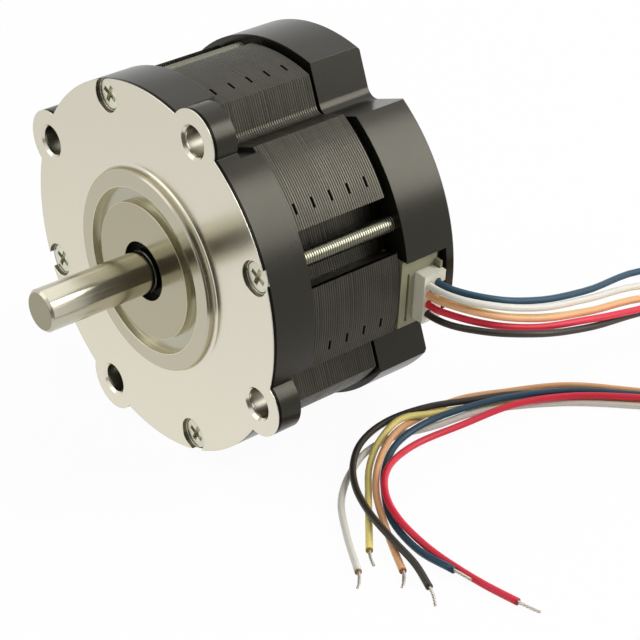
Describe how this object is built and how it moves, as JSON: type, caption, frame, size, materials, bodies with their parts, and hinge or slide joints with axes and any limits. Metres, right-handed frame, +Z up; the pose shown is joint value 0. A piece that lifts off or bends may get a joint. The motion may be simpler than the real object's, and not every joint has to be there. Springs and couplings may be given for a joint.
{
  "type": "dual shaft stepper motor",
  "caption": "Round-flanged hybrid stepper motor with a plain shaft at each end, four mounting ears, open lamination stack, side connector and loose colour-coded leads.",
  "frame": {"origin": "the motor axis where it meets the mounting face", "axes": "+Y along the motor axis from the front shaft to the rear shaft, +Z up as the motor lies on a table, +X towards the connector"},
  "size_m": [0.1236, 0.1408, 0.0705],
  "materials": {
    "bracket": "semi-gloss black paint, with the mounting face machined bare",
    "stack": "black-coated steel laminations",
    "insulator": "moulded",
    "winding": "enamelled copper wire",
    "screw": "zinc plated",
    "board": "glass-fibre board",
    "header": "moulded, ivory",
    "contact": "tinned",
    "plug": "moulded, white",
    "shaft": "ground",
    "rotor_steel": "laminated, ground",
    "magnet": "nickel plated",
    "spacer": "turned",
    "bearing_steel": "ground and polished",
    "shield": "pressed",
    "cage": "pressed",
    "spring_steel": "pressed",
    "lead_blue": "vinyl insulation",
    "lead_white": "vinyl insulation",
    "lead_orange": "vinyl insulation",
    "lead_red": "vinyl insulation",
    "lead_black": "vinyl insulation",
    "lead_yellow": "vinyl insulation",
    "tinned_wire": "tinned copper strands"
  },
  "bodies": {
    "motor": {"front_bracket": "bracket", "rear_bracket": "bracket", "stator_core": "stack", "front_insulator": "insulator", "rear_insulator": "insulator", "phase_a_coils": "winding", "phase_b_coils": "winding", "through_screws": "screw", "terminal_board": "board", "connector_header": "header", "header_pins": "contact", "plug_housing": "plug", "plug_contacts": "contact", "front_bearing_outer_ring": "bearing_steel", "front_bearing_shields": "shield", "rear_bearing_outer_ring": "bearing_steel", "rear_bearing_shields": "shield", "wave_washer": "spring_steel", "lead_blue": "lead_blue", "lead_white": "lead_white", "lead_orange": "lead_orange", "lead_red": "lead_red", "lead_black": "lead_black", "lead_yellow": "lead_yellow", "stripped_ends": "tinned_wire"},
    "rotor": {"shaft": "shaft", "rotor_core_front": "rotor_steel", "rotor_core_rear": "rotor_steel", "rotor_magnet": "magnet", "front_spacer": "spacer", "rear_spacer": "spacer", "front_bearing_inner_ring": "bearing_steel", "rear_bearing_inner_ring": "bearing_steel"},
    "front_ball_set": {"front_bearing_balls": "bearing_steel", "front_bearing_cage": "cage"},
    "rear_ball_set": {"rear_bearing_balls": "bearing_steel", "rear_bearing_cage": "cage"}
  },
  "joints": [
    {"name": "shaft_spin", "type": "hinge", "parent": "motor", "child": "rotor", "pos_m": [0, 0, 0], "axis": [0, 1, 0], "continuous": true},
    {"name": "front_balls_orbit", "type": "hinge", "parent": "motor", "child": "front_ball_set", "pos_m": [0, 0, 0], "axis": [0, 1, 0], "continuous": true},
    {"name": "rear_balls_orbit", "type": "hinge", "parent": "motor", "child": "rear_ball_set", "pos_m": [0, 0, 0], "axis": [0, 1, 0], "continuous": true}
  ],
  "couplings": [
    {"joint": "front_balls_orbit", "follows": "shaft_spin", "ratio": 0.3677},
    {"joint": "rear_balls_orbit", "follows": "shaft_spin", "ratio": 0.3677}
  ]
}
